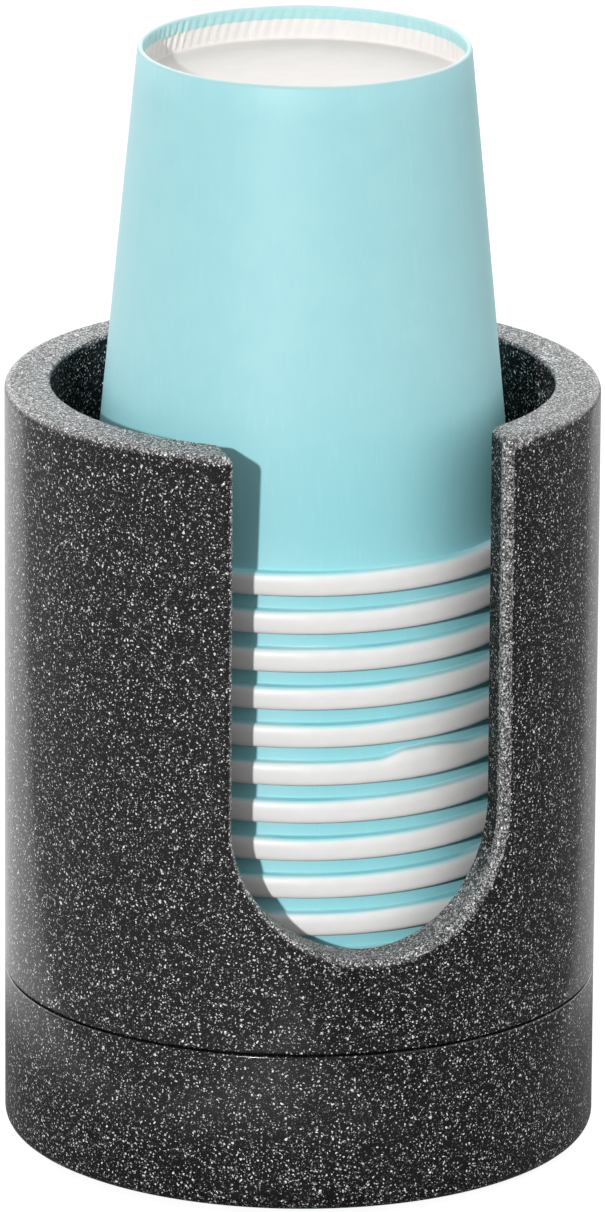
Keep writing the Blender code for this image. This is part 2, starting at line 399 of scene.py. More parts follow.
def revolve(profile, segments):
    """Turn an open profile, whose ends lie on the axis, into a closed solid."""
    mesh = bmesh.new()
    turns = [2 * pi * step / segments for step in range(segments)]
    rings = []
    for radius, height in profile[1:-1]:
        points = [(radius * cos(turn), radius * sin(turn), height) for turn in turns]
        rings.append([mesh.verts.new(point) for point in points])
    for ring, next_ring in zip(rings, rings[1:]):
        ring_faces(mesh, ring, next_ring)
    close_ring(mesh, rings[0], profile[0][1])
    close_ring(mesh, rings[-1], profile[-1][1])
    return mesh


def arc(centre_radius, centre_height, size, start, end, steps):
    """Points of a round edge, as radius and height, from one angle to another."""
    points = []
    for step in range(steps + 1):
        turn = start + (end - start) * step / steps
        points.append((centre_radius + size * cos(turn), centre_height + size * sin(turn)))
    return points


def smooth_step(value):
    """A soft rise from 0 to 1, level at both ends and beyond them."""
    value = min(max(value, 0), 1)
    return value * value * (3 - 2 * value)


# Material helpers


class Nodes:
    """A material's node tree, with short calls for the nodes that are used here."""

    def __init__(self, name):
        self.material = bpy.data.materials.new(name)
        self.material.use_nodes = True
        self.tree = self.material.node_tree
        self.shader = self.tree.nodes["Principled BSDF"]
        self.position = self.tree.nodes.new("ShaderNodeTexCoord").outputs["Object"]

    def add(self, kind, inputs=None, **settings):
        """A new node with the given settings and inputs, which may be values or sockets."""
        node = self.tree.nodes.new(kind)
        for key, value in settings.items():
            setattr(node, key, value)
        for key, value in (inputs or {}).items():
            self.link(value, node.inputs[key])
        return node

    def link(self, value, socket):
        if isinstance(value, bpy.types.NodeSocket):
            self.tree.links.new(value, socket)
        else:
            socket.default_value = value

    def math(self, operation, first, second=0.0):
        return self.add("ShaderNodeMath", {0: first, 1: second}, operation=operation).outputs[0]

    def vector(self, operation, first, second=None):
        """A vector operation's result, which is one value for a dot product or a length."""
        inputs = {0: first} if second is None else {0: first, 1: second}
        outputs = self.add("ShaderNodeVectorMath", inputs, operation=operation).outputs
        return outputs["Value" if operation in ("DOT_PRODUCT", "LENGTH") else "Vector"]

    def ramp(self, value, low, high, to_low=0.0, to_high=1.0):
        """A soft step from one value to another, between low and high."""
        inputs = {"Value": value, "From Min": low, "From Max": high, "To Min": to_low, "To Max": to_high}
        return self.add("ShaderNodeMapRange", inputs, interpolation_type="SMOOTHSTEP").outputs["Result"]

    def spread(self, value, to_low=0.0, to_high=1.0):
        """The middle range of a noise, spread over the given values."""
        return self.ramp(value, 0.3, 0.7, to_low, to_high)

    def noise(self, scale, detail=2.0, roughness=0.5, stretch=None):
        place = self.position
        if stretch:
            place = self.add("ShaderNodeMapping", {"Vector": place, "Scale": stretch}).outputs["Vector"]
        inputs = {"Vector": place, "Scale": scale, "Detail": detail, "Roughness": roughness}
        return self.add("ShaderNodeTexNoise", inputs).outputs

    def height(self):
        return self.add("ShaderNodeSeparateXYZ", {0: self.position}).outputs["Z"]

    def mix(self, share, first, second):
        node = self.add("ShaderNodeMix", data_type="RGBA")
        self.link(share, node.inputs[0])
        self.link(first, node.inputs[6])
        self.link(second, node.inputs[7])
        return node.outputs[2]

    def bump(self, height, distance, strength=1.0, under=None):
        inputs = {"Height": height, "Distance": distance, "Strength": strength}
        if under:
            inputs["Normal"] = under
        return self.add("ShaderNodeBump", inputs).outputs["Normal"]

    def finish(self, color, roughness, normal, specular):
        """Connect the shader and return the material; the reflectivity is one fixed value."""
        self.link(color, self.shader.inputs["Base Color"])
        self.link(roughness, self.shader.inputs["Roughness"])
        self.link(normal, self.shader.inputs["Normal"])
        self.shader.inputs["Specular IOR Level"].default_value = specular
        return self.material


def grey(value, tint=(1.0, 1.0, 1.0)):
    """Opaque grey with a tint."""
    return (value * tint[0], value * tint[1], value * tint[2], 1.0)


def speck_layer(nodes, position, per_metre, sizes, keep_share):
    """Round specks inside random cells: how much of one lies here, and how bright it is."""
    inputs = {"Vector": position, "Scale": per_metre, "Randomness": 1.0}
    cells = nodes.add("ShaderNodeTexVoronoi", inputs)
    random = nodes.add("ShaderNodeSeparateColor", {"Color": cells.outputs["Color"]}).outputs
    size = nodes.ramp(random["Red"], 0.0, 1.0, *sizes)
    inner = nodes.math("MULTIPLY", size, SPECK_CORE)
    inputs = {"Value": cells.outputs["Distance"], "From Min": size, "From Max": inner}
    inside = nodes.add("ShaderNodeMapRange", inputs).outputs["Result"]
    kept = nodes.math("LESS_THAN", random["Green"], keep_share)
    return nodes.math("MULTIPLY", inside, kept), random["Blue"]


def raised(nodes, ground, start, gain):
    """A value that rises by gain where the surface is ground back."""
    inputs = {0: ground, 1: gain, 2: start}
    return nodes.add("ShaderNodeMath", inputs, operation="MULTIPLY_ADD").outputs[0]


def opened_layer(nodes, position, ground, layer, opened):
    """Specks that are larger, brighter and more on ground faces: how much lies here, and its color."""
    per_metre, (smallest, largest), keep_share, (dark, bright) = layer
    more_size, more_share, ground_bright = opened
    sizes = (smallest, raised(nodes, ground, largest, more_size))
    keep_share = raised(nodes, ground, keep_share, more_share)
    specks, light = speck_layer(nodes, position, per_metre, sizes, keep_share)
    brightest = nodes.mix(ground, grey(bright), grey(ground_bright))
    return specks, nodes.mix(light, grey(dark), brightest)


def ground_share(nodes):
    """How far the surface is ground back here, with painted light where its edge is worn, and a ragged
    edge against the cast skin.
    """
    mark = nodes.add("ShaderNodeAttribute", attribute_name=GROUND).outputs["Fac"]
    ragged = nodes.ramp(nodes.noise(EDGE_NOISE)["Fac"], 0.2, 0.8, -RAGGEDNESS, RAGGEDNESS)
    return nodes.ramp(nodes.math("ADD", mark, ragged), 0.25, 0.75)


def speck_position(nodes, shift):
    """Place in the pattern of the specks, pushed about a little."""
    push = nodes.vector("SUBTRACT", nodes.noise(PUSH_NOISE, 1.0)["Color"], (0.5, 0.5, 0.5))
    small = nodes.add("ShaderNodeVectorMath", {0: push, "Scale": SPECK_WARP}, operation="SCALE")
    return nodes.vector("ADD", nodes.vector("ADD", nodes.position, shift), small.outputs[0])


def stone_color(nodes, position, ground):
    """Color of the stone with painted shade along its seam, and how much of a grain lies here."""
    cloud = nodes.spread(nodes.noise(CLOUD_NOISE, 3.0, 0.6)["Fac"])
    skin = nodes.mix(cloud, grey(*SKIN_DARK), grey(*SKIN_LIGHT))
    resin = nodes.mix(ground, skin, grey(GROUND_RESIN))
    dust, dust_color = opened_layer(nodes, position, ground, DUST, GROUND_DUST)
    color = nodes.mix(dust, resin, dust_color)
    grain, grain_color = opened_layer(nodes, position, ground, GRAINS, GROUND_GRAINS)
    color = nodes.mix(grain, color, grain_color)
    per_metre, sizes, keep_share, (dark, bright) = FLAKES
    flake, light = speck_layer(nodes, position, per_metre, sizes, keep_share)
    color = nodes.mix(flake, color, nodes.mix(light, grey(dark), grey(bright, FLAKE_TINT)))
    # Painted shade: near the seam between sleeve and base the stone darkens to its bare skin, without
    # specks.
    from_seam = nodes.math("ABSOLUTE", nodes.math("SUBTRACT", nodes.height(), SEAM_SHADE_MIDDLE))
    seam = nodes.ramp(from_seam, SEAM_SHADE_FULL, SEAM_SHADE_END, SEAM_SHADE_STRENGTH, 0.0)
    return nodes.mix(seam, color, skin), grain


def stone_material(name, shift, has_ground_edges, specular=STONE_SPECULAR):
    """Charcoal cast stone: near-black resin packed with fine white and grey mineral grains."""
    nodes = Nodes(name)
    ground = ground_share(nodes) if has_ground_edges else 0.0
    color, grain = stone_color(nodes, speck_position(nodes, shift), ground)
    rough = nodes.ramp(nodes.noise(GLOSS_NOISE)["Fac"], 0.25, 0.75, *SKIN_ROUGHNESS)
    relief = nodes.bump(nodes.noise(WAVE_NOISE)["Fac"], *WAVE_RELIEF)
    relief = nodes.bump(grain, *GRAIN_RELIEF, relief)
    relief = nodes.bump(nodes.noise(FINE_NOISE)["Fac"], *FINE_RELIEF, relief)
    if has_ground_edges:
        matt = nodes.add("ShaderNodeAttribute", attribute_name=MATT).outputs["Fac"]
        rough = raised(nodes, matt, rough, MATT_ROUGHNESS)
        tooth = nodes.math("MULTIPLY", nodes.noise(TOOTH_NOISE)["Fac"], matt)
        relief = nodes.bump(tooth, *TOOTH_RELIEF, relief)
    return nodes.finish(color, rough, relief, specular)


def paper_relief(nodes, strength):
    """Fibres of cup paper, drawn out along the machine direction, over a fine tooth."""
    fibres = nodes.noise(FIBRE_NOISE, 3.0, 0.6, FIBRE_STRETCH)["Fac"]
    tooth = nodes.noise(PAPER_TOOTH_NOISE)["Fac"]
    relief = nodes.bump(fibres, FIBRE_DEPTH, strength)
    return nodes.bump(tooth, PAPER_TOOTH_DEPTH, strength, relief), fibres


def white_tone(nodes, color):
    """White paper with a faint mottle."""
    mottle = nodes.noise(PAPER_NOISE, 3.0, 0.6)["Fac"]
    shade = tuple(MOTTLE_SHADE * channel for channel in color)
    return nodes.mix(nodes.spread(mottle), (*shade, 1.0), (*color, 1.0))


def print_material():
    """Turquoise ink, darker low on the cup as painted shade, that ends softly on the white paper of its
    rim.
    """
    nodes = Nodes("turquoise_print")
    relief, fibres = paper_relief(nodes, PRINT_RELIEF)
    mottle = nodes.noise(INK_NOISE, 4.0, 0.62)["Fac"]
    ink = nodes.mix(nodes.spread(mottle), *PRINT_INKS)
    # Painted shade: darker, deeper ink near the rim, where the cup sits in the stack and the sleeve.
    painted_shade = nodes.ramp(nodes.height(), *PAINTED_SHADE_HEIGHTS, 1.0, 0.0)
    ink = nodes.mix(painted_shade, ink, PAINTED_SHADE_INK)
    worn = nodes.math("MULTIPLY", nodes.ramp(fibres, 0.50, 0.80), FIBRE_WEAR)
    level = nodes.add("ShaderNodeAttribute", attribute_name=PRINTED).outputs["Fac"]
    ink = nodes.mix(nodes.math("MAXIMUM", worn, nodes.ramp(level, *THIN_END)), ink, WORN_INK)
    printed = nodes.ramp(level, -1.0, 1.0)
    color = nodes.mix(printed, white_tone(nodes, RIM_WHITE), ink)
    rough = raised(nodes, printed, RIM_ROUGHNESS, nodes.spread(mottle, *PRINT_ROUGHNESS))
    nodes.shader.inputs["Coat Weight"].default_value = PRINT_COAT
    nodes.shader.inputs["Coat Roughness"].default_value = PRINT_COAT_ROUGHNESS
    return nodes.finish(color, rough, relief, INK_SPECULAR)


def hem_material():
    """The same ink where the wall is folded in: paler, and rubbed nearly white along the fold."""
    nodes = Nodes("turquoise_hem")
    relief, fibres = paper_relief(nodes, PRINT_RELIEF)
    ink = nodes.mix(nodes.spread(nodes.noise(PAPER_NOISE, 3.0, 0.6)["Fac"]), *HEM_INKS)
    low, high = (CUP_HEIGHT - depth for depth in FOLD_DEPTHS)
    crown = nodes.ramp(nodes.height(), low, high, 0.0, FOLD_RUB)
    patches = nodes.ramp(nodes.noise(PATCH_NOISE, 1.0)["Fac"], 0.35, 0.65)
    color = nodes.mix(nodes.math("MULTIPLY", crown, patches), ink, RUBBED_INK)
    return nodes.finish(color, nodes.spread(fibres, *HEM_ROUGHNESS), relief, INK_SPECULAR)


def white_paper_material(name, color, roughness, relief_strength, specular):
    """White cup paper under a thin coating."""
    nodes = Nodes(name)
    relief, fibres = paper_relief(nodes, relief_strength)
    rough = nodes.spread(fibres, roughness - ROUGHNESS_SWING, roughness + ROUGHNESS_SWING)
    return nodes.finish(white_tone(nodes, color), rough, relief, specular)


def foam_material():
    """Black closed-cell foam, with its fine open skin."""
    nodes = Nodes("black_foam")
    cells = nodes.add("ShaderNodeTexVoronoi", {"Vector": nodes.position, "Scale": FOAM_CELLS})
    distance = cells.outputs["Distance"]
    color = nodes.mix(distance, *(grey(tone) for tone in FOAM_TONES))
    rough = nodes.ramp(distance, 0.0, 0.8, *FOAM_ROUGHNESS)
    return nodes.finish(color, rough, nodes.bump(distance, *FOAM_RELIEF), FOAM_SPECULAR)


# Sleeve


def point_across(radius, across, height):
    """Point on the front of a cylinder, at a distance across from the middle plane."""
    return Vector((across, -sqrt(radius ** 2 - across ** 2), height))


# Each station is a place on the sleeve's upper edge, how far its cut face looks up, since faces
# that look up are ground back right through the wall and the slot's sides aren't, and how far
# the edge is worn beyond its rounding, as it is along the slot's right side and less at its left;
# that wear also paints the key light on the slot's right side and the shade on its left


def sill_station(turn):
    """Place on the round bottom of the slot: turn 0 is its right end, pi its left end."""
    def place(radius, inset):
        reach = SLOT_HALF_WIDTH + inset
        return point_across(radius, reach * cos(turn), SLOT_CENTRE - reach * sin(turn))
    # Wear, with painted light: full at the slot's right end, a small share at its left.
    return place, sin(turn), max(cos(turn), -LEFT_WEAR_AND_LIGHT * cos(turn))


def corner_station(side, turn):
    """Place on the rounded top corner of the slot: turn 0 is its side, a right angle its rim."""
    def place(radius, inset):
        reach = max(SLOT_CORNER_RADIUS - inset, 0)
        centre = max(SLOT_CORNER_RADIUS, inset)
        across = SLOT_HALF_WIDTH + centre - reach * cos(turn)
        height = SLEEVE_TOP - centre + reach * sin(turn)
        return point_across(radius, side * across, height)
    # Wear, with painted light: full on the slot's right corner, a small share on its left.
    return place, sin(turn), max(side, -LEFT_WEAR_AND_LIGHT * side)


def rim_station(share):
    """Place on the sleeve's rim, from the left corner of the slot round the back to the right."""
    def place(radius, inset):
        corner = asin((SLOT_HALF_WIDTH + max(SLOT_CORNER_RADIUS, inset)) / radius)
        turn = -corner - (2 * pi - 2 * corner) * share
        return Vector((radius * sin(turn), -radius * cos(turn), SLEEVE_TOP - inset))
    # Wear, with painted light, fades along the rim away from the slot's right corner.
    to_corner = 2 * pi * BODY_RADIUS * (1 - share)
    return place, 1.0, 1 - smooth_step(to_corner / WORN_AND_LIT_FADE)


def edge_stations():
    """The closed path of the sleeve's upper edge: down and up the slot, then round the rim."""
    corner = [0.5 * pi * step / CORNER_STEPS for step in range(CORNER_STEPS + 1)]
    sill = [pi * step / SILL_STEPS for step in range(SILL_STEPS + 1)]
    rim = [step / RIM_STEPS for step in range(1, RIM_STEPS)]
    path = [corner_station(1, turn) for turn in reversed(corner)]
    path += [sill_station(turn) for turn in sill]
    path += [corner_station(-1, turn) for turn in corner]
    path += [rim_station(share) for share in rim]
    return path


def quarter_round(corner, start, end, steps):
    """Points of a rounded corner that leaves start and reaches end square to both faces."""
    points = []
    for step in range(steps + 1):
        turn = 0.5 * pi * step / steps
        points.append(corner + (start - corner) * (1 - sin(turn)) + (end - corner) * (1 - cos(turn)))
    return points


def edge_section(place):
    """The rounded edge at one station, from the outer face through the wall to the bore."""
    outer = place(BODY_RADIUS, 0)
    inner = place(BORE_RADIUS, 0)
    through = (inner - outer).normalized()
    outer_end = place(BODY_RADIUS, OUTER_EDGE_ROUND)
    inner_end = place(BORE_RADIUS, INNER_EDGE_ROUND)
    points = [place(BODY_RADIUS, OUTER_EDGE_ROUND + WORN_AND_LIT_MARGIN)]
    points.append(place(BODY_RADIUS, OUTER_EDGE_ROUND + EDGE_SUPPORT))
    points += quarter_round(outer, outer_end, outer + through * OUTER_EDGE_ROUND, OUTER_ROUND_STEPS)
    points.append(outer + through * (OUTER_EDGE_ROUND + WALL_GRINDING))
    points += quarter_round(inner, inner - through * INNER_EDGE_ROUND, inner_end, INNER_ROUND_STEPS)
    points.append(place(BORE_RADIUS, INNER_EDGE_ROUND + EDGE_SUPPORT))
    return points


def edge_grinding(looks_up, worn):
    """How far each point of an edge's section is ground back, and how matt it is."""
    face = smooth_step(looks_up)
    # Where the edge is worn, the grinding also paints light: it starts sooner and reaches past the
    # rounding.
    start = GRINDING_START - LEVEL_LEAD * max(face, worn) - WORN_AND_LIT_LEAD * worn
    rounding = range(OUTER_ROUND_STEPS + 1)
    ground = [0.0, MARGIN_WEAR_AND_LIGHT * worn]
    ground += [smooth_step((step - start) / GRINDING_STEPS) for step in rounding]
    ground += [face, face, face] + [BORE_EDGE_GRINDING * face] * (INNER_ROUND_STEPS - 1) + [0.0]
    matt = [0.0, 0.0] + [step / OUTER_ROUND_STEPS for step in rounding]
    matt += [1.0] * (INNER_ROUND_STEPS + 2) + [0.0]
    return zip(ground, matt)


def foot_point(above, radius, height):
    """Point of the given radius and height, straight in or out from a point above it."""
    turn = atan2(above.x, -above.y)
    return Vector((radius * sin(turn), -radius * cos(turn), height))


def bridge(mesh, path, next_path):
    """Faces between two lines of points, and those faces in their order along the lines."""
    corners = zip(path, path[1:], next_path[1:], next_path)
    return [mesh.faces.new(four) for four in corners]


def wall_column(sections, feet, index, side):
    """Corners of the wall below one station, foot first, with any lower station's end between."""
    end = sections[index][side]
    lower = []
    for section, foot in zip(sections, feet):
        if foot is feet[index] and section[side].co.z < end.co.z:
            lower.append(section[side])
    return [feet[index][side]] + lower + [end]


def seam_section(section):
    """The eased edges at the sleeve's foot, from the outer face under the wall to the bore."""
    outer = section[0].co
    inner = section[-1].co
    eased = SEAM_EDGE_ROUND * (1 - sqrt(0.5))
    return [
        foot_point(outer, BODY_RADIUS, SLEEVE_BOTTOM + SEAM_EDGE_ROUND + EDGE_SUPPORT),
        foot_point(outer, BODY_RADIUS, SLEEVE_BOTTOM + SEAM_EDGE_ROUND),
        foot_point(outer, BODY_RADIUS - eased, SLEEVE_BOTTOM + eased),
        foot_point(outer, BODY_RADIUS - SEAM_EDGE_ROUND, SLEEVE_BOTTOM),
        foot_point(inner, BORE_RADIUS + SEAM_EDGE_ROUND, SLEEVE_BOTTOM),
        foot_point(inner, BORE_RADIUS, SLEEVE_BOTTOM + SEAM_EDGE_ROUND),
    ]


def sleeve_sections(mesh, stations):
    """Points of the rounded edge at each station, painted with their grinding and, where worn, painted
    light.
    """
    ground = mesh.verts.layers.float.new(GROUND)
    matt = mesh.verts.layers.float.new(MATT)
    sections = []
    for place, looks_up, worn in stations:
        section = [mesh.verts.new(point) for point in edge_section(place)]
        for vertex, shares in zip(section, edge_grinding(looks_up, worn)):
            vertex[ground], vertex[matt] = shares
        sections.append(section)
    return sections


def sleeve_feet(mesh, sections):
    """Points of the foot below each section; sections right above one another share theirs."""
    feet = []
    for section in sections:
        new_foot = seam_section(section)
        if feet and (feet[-1][0].co - new_foot[0]).length < MERGE_DISTANCE:
            feet.append(feet[-1])
        else:
            feet.append([mesh.verts.new(point) for point in new_foot])
    return feet


def build_sleeve(materials):
    """Sweep the edge's section round its path, then drop the walls to the seam and close them."""
    mesh = bmesh.new()
    stations = edge_stations()
    sections = sleeve_sections(mesh, stations)
    feet = sleeve_feet(mesh, sections)
    for index in range(len(sections)):
        after = (index + 1) % len(sections)
        faces = bridge(mesh, sections[index], sections[after])
        if max(stations[index][1], stations[after][1]) < UPRIGHT:
            for face in faces[OUTER_ROUND_STEPS:]:
                face.material_index = SLOT_WALL
        if feet[index] is feet[after]:
            continue
        bridge(mesh, feet[index], feet[after])
        for side in (0, -1):
            here = wall_column(sections, feet, index, side)
            there = wall_column(sections, feet, after, side)
            mesh.faces.new(here + there[::-1])
    return mesh_object("stone_sleeve", mesh, materials)


# Base and foot pad


def build_base(material):
    """Weighted foot, with the spigot and shoulder above and the pocket for the pad below."""
    spigot = BODY_RADIUS - SLEEVE_WALL - SPIGOT_CLEARANCE
    eased = BODY_RADIUS - SEAM_EDGE_ROUND
    foot_centre = BODY_RADIUS - BASE_FOOT_ROUND
    foot_end = BASE_UNDERSIDE + BASE_FOOT_ROUND
    pocket = PAD_RADIUS + PAD_SEAT_GAP
    ceiling = PAD_HIGH[2] + PAD_SEAT_GAP
    quarter = 0.5 * pi
    rounded = spigot - SPIGOT_CHAMFER
    profile = [(0, FLOOR)]
    profile += arc(rounded, FLOOR - SPIGOT_CHAMFER, SPIGOT_CHAMFER, quarter, 0, CHAMFER_STEPS)
    profile.append((spigot, SHOULDER))
    profile += arc(eased, SHOULDER - SEAM_EDGE_ROUND, SEAM_EDGE_ROUND, quarter, 0, SMALL_ROUND_STEPS)
    profile.append((BODY_RADIUS, SHOULDER - SEAM_EDGE_ROUND - EDGE_SUPPORT))
    profile.append((BODY_RADIUS, foot_end + EDGE_SUPPORT))
    profile += arc(foot_centre, foot_end, BASE_FOOT_ROUND, 0, -quarter, FOOT_ROUND_STEPS)
    profile += [(pocket, BASE_UNDERSIDE), (pocket, ceiling), (0, ceiling)]
    return mesh_object("stone_base", revolve(profile, ROUND_SEGMENTS), [material])


def build_foot_pad(material):
    """Flat round pad that stands a little proud of the base's underside."""
    top = PAD_HIGH[2]
    centre = PAD_RADIUS - PAD_EDGE_ROUND
    quarter = 0.5 * pi
    profile = [(0, top)]
    profile += arc(centre, top - PAD_EDGE_ROUND, PAD_EDGE_ROUND, quarter, 0, SMALL_ROUND_STEPS)
    profile += arc(centre, PAD_EDGE_ROUND, PAD_EDGE_ROUND, 0, -quarter, SMALL_ROUND_STEPS)
    profile.append((0, 0))
    return mesh_object("foam_pad", revolve(profile, PAD_SEGMENTS), [material])


# Cups, each drawn upside down with its rolled rim at height 0 and its side seam at angle 0


def cup_radius(height):
    """Outside radius of the side wall, which narrows from the rim to the base."""
    return CUP_WALL_RIM_RADIUS - CUP_TAPER_SHARE * height


def seam_lift(angle, radius):
    """The outer lap stands one paper thickness proud at its cut edge and sinks back beyond it."""
    along = angle * radius / SEAM_LAP
    if along < 0 or along > 1:
        return 0.0
    return PAPER * (1 - smooth_step(along))


def rim_swell(along):
    """Share of a rim's swelling at a distance along it from the seam's cut edge."""
    start, full, sinking, end = SWELL
    rise = smooth_step((along - start) / (full - start))
    return rise * (1 - smooth_step((along - sinking) / (end - sinking)))


def print_level(height, angle, number, slip):
    """Height above the end of the print, which wanders round the rim and slips up at its swell."""
    waves = sum(share * sin(count * (angle + number)) for count, share in PRINT_WAVES)
    return (height - PRINT_END - PRINT_WANDER * waves - slip) / PRINT_FADE


def knurl(angle, height, radius):
    """Slanted crimps that the machine rolls into the hem and the skirt."""
    lean = (height - CUP_HEIGHT) * sin(KNURL_SLANT) / radius
    return KNURL_DEPTH * sin(KNURL_COUNT * (angle + lean))


def crease(along, height):
    """Depth of the creases beside the side seam; they deepen towards the floor disc."""
    below = CUP_HEIGHT - height
    nearest = min(abs(along - place - lean * below) for place, lean in CREASES)
    deepening = CREASE_TOP_SHARE + (1 - CREASE_TOP_SHARE) * below / RECESS_DEPTH
    return CREASE_DEPTH * exp(-(nearest / CREASE_WIDTH) ** 2) * deepening


def cup_angles():
    """Even steps round the cup, finer at the creases, and one more for the seam's cut edge."""
    even = [2 * pi * step / CUP_SEGMENTS for step in range(CUP_SEGMENTS)]
    span = CREASE_SPAN / cup_radius(CUP_HEIGHT)
    fine = [span * (step + 0.5) / CREASE_COLUMNS for step in range(CREASE_COLUMNS)]
    return sorted(even + fine) + [2 * pi - SEAM_EDGE_ANGLE]


def cup_wall_rows():
    """Rows of the side wall's closed section: kind, inset from the outer face, and height."""
    rows = []
    hem_middle = 0.5 * HEM_THICKNESS
    for step in range(HEM_STEPS + 1):
        turn = pi * step / HEM_STEPS
        rows.append(("hem", hem_middle * (1 + cos(turn)), CUP_HEIGHT - hem_middle * (1 - sin(turn))))
    bend = CURL_HEIGHT + RIM_FILLET
    top = CUP_HEIGHT - hem_middle
    for step in range(1, WALL_ROWS + 1):
        rows.append(("wall", 0.0, top + (bend - top) * step / WALL_ROWS))
    for step in range(1, FILLET_STEPS + 1):
        share = step / FILLET_STEPS
        rows.append(("fillet", -RIM_FILLET * share ** 2, CURL_HEIGHT + RIM_FILLET * (1 - share) ** 2))
    for step in range(1, CURL_STEPS + 1):
        rows.append(("curl", step / CURL_STEPS, 0.0))
    pocket = CUP_HEIGHT - PAPER
    rows.append(("inside", PAPER, CURL_HEIGHT))
    rows.append(("inside", PAPER, pocket))
    rows.append(("pocket", HEM_THICKNESS - PAPER, pocket))
    flap_end = CUP_HEIGHT - FLAP_DEPTH
    rows.append(("pocket", HEM_THICKNESS - PAPER, flap_end))
    for step in range(FLAP_STEPS):
        rows.append(("flap", HEM_THICKNESS, flap_end + (top - flap_end) * step / FLAP_STEPS))
    return rows


def curl_point(share):
    """Point of the rolled rim's section, from its top round to the inside."""
    half_width = 0.5 * CURL_WIDTH
    half_height = 0.5 * CURL_HEIGHT
    turn = 0.5 * pi - CURL_TURN * share
    across = cos(turn)
    up = sin(turn)
    square = CURL_TOP_SHAPE if up > 0 else CURL_FOOT_SHAPE
    across = (abs(across) ** square) * (1 if across > 0 else -1)
    up = (abs(up) ** square) * (1 if up > 0 else -1)
    return CUP_RIM_RADIUS - half_width + half_width * across, half_height * (1 + up)


def signed_angle(angle):
    """The same direction from the side seam, negative on its far side."""
    return angle - 2 * pi if angle > pi else angle


def cup_wall_point(row, angle, swell):
    """Radius and height of a point of the side wall, where the rim swells by the given height."""
    kind, inset, height = row
    if kind == "curl":
        radius, height = curl_point(inset)
        proud = max(radius - CUP_RIM_RADIUS + CURL_WIDTH, 0) / CURL_WIDTH
        return radius + SWELL_OUTWARD * swell * proud, height + swell * (height / CURL_HEIGHT)
    height += swell if kind == "fillet" else 0.0
    signed = signed_angle(angle)
    radius = cup_radius(height) - inset
    radius += seam_lift(signed, radius) * max(1 - abs(inset) / HEM_THICKNESS, 0)
    if kind in ("flap", "pocket"):
        radius += knurl(angle, height, radius) + crease(signed * radius, height)
    return radius, height


def row_material(row):
    """Slot of the faces that start at a row of the side wall."""
    kind, inset, _ = row
    if kind == "flap" or (kind == "hem" and inset > 0):
        return HEM
    return INK if kind in ("hem", "wall", "fillet", "curl") else WHITE


def build_cup_wall(name, number, papers, seam_direction, rim_bulge, cut_edge):
    """Side wall with its seam, rolled rim and knurled hem."""
    rows = cup_wall_rows()
    angles = cup_angles()
    mesh = bmesh.new()
    printed = mesh.verts.layers.float.new(PRINTED)

    def vertex_at(row, angle):
        swell = rim_bulge * rim_swell(signed_angle(angle) * CUP_RIM_RADIUS)
        radius, height = cup_wall_point(row, angle, swell)
        turn = angle + seam_direction
        vertex = mesh.verts.new((radius * sin(turn), -radius * cos(turn), height))
        flat_height = curl_point(row[1])[1] if row[0] == "curl" else row[2]
        vertex[printed] = print_level(flat_height, angle, number, PRINT_SLIP * swell)
        return vertex

    grid = [[vertex_at(row, angle) for angle in angles] for row in rows]
    for row, ring, next_ring in zip(rows, grid, grid[1:] + grid[:1]):
        faces = ring_faces(mesh, ring, next_ring)
        for face in faces:
            face.material_index = row_material(row)
        if row[0] == "wall":
            faces[-1].material_index = cut_edge
    return mesh_object(name, mesh, papers, PAPER_SHARP_ANGLE)


def cup_bottom_rows():
    """Rows of the floor disc and its skirt: kind, share of the disc or inset, and height."""
    skirt_top = CUP_HEIGHT - PAPER - SKIRT_CLEARANCE
    corner = DISC_TOP + DISC_CORNER_ROUND
    rows = [("disc", share, DISC_TOP) for share in DISC_RINGS]
    for step in range(DISC_CORNER_STEPS + 1):
        turn = 0.5 * pi * step / DISC_CORNER_STEPS
        inset = SKIRT_INSIDE + DISC_CORNER_ROUND * (1 - sin(turn))
        rows.append(("skirt", inset, DISC_TOP + DISC_CORNER_ROUND * (1 - cos(turn))))
    for step in range(1, SKIRT_STEPS + 1):
        rows.append(("skirt", SKIRT_INSIDE, corner + (skirt_top - corner) * step / SKIRT_STEPS))
    rows.append(("back", SKIRT_OUTSIDE, skirt_top))
    rows.append(("back", SKIRT_OUTSIDE, DISC_UNDERSIDE + DISC_CORNER_ROUND))
    rows.append(("back", SKIRT_OUTSIDE + DISC_CORNER_ROUND, DISC_UNDERSIDE))
    rows += [("under", share, DISC_UNDERSIDE) for share in DISC_RINGS[1::-1]]
    return rows


def cup_bottom_point(row, angle, seam_direction):
    """Point of the floor disc, which sags in the middle, or of its knurled and creased skirt."""
    kind, inset, height = row
    if kind in ("disc", "under"):
        radius = (cup_radius(DISC_TOP) - SKIRT_INSIDE) * inset
        height -= DISC_SAG * (1 - inset ** 2)
    else:
        radius = cup_radius(height) - inset
    if kind == "skirt":
        fade = smooth_step((height - DISC_TOP) / (2 * DISC_CORNER_ROUND))
        radius += (knurl(angle, height, radius) + crease(angle * radius, height)) * fade
    turn = angle + seam_direction
    return Vector((radius * sin(turn), -radius * cos(turn), height))


def build_cup_bottom(name, white_paper, seam_direction):
    """Recessed floor disc with a rounded corner up into its skirt."""
    mesh = bmesh.new()
    angles = cup_angles()
    grid = []
    for row in cup_bottom_rows():
        points = [cup_bottom_point(row, angle, seam_direction) for angle in angles]
        grid.append([mesh.verts.new(point) for point in points])
    for upper, lower in zip(grid, grid[1:]):
        ring_faces(mesh, upper, lower)
    close_ring(mesh, grid[0], DISC_TOP - DISC_SAG)
    close_ring(mesh, grid[-1], DISC_UNDERSIDE - DISC_SAG)
    return mesh_object(name, mesh, [white_paper], PAPER_SHARP_ANGLE)


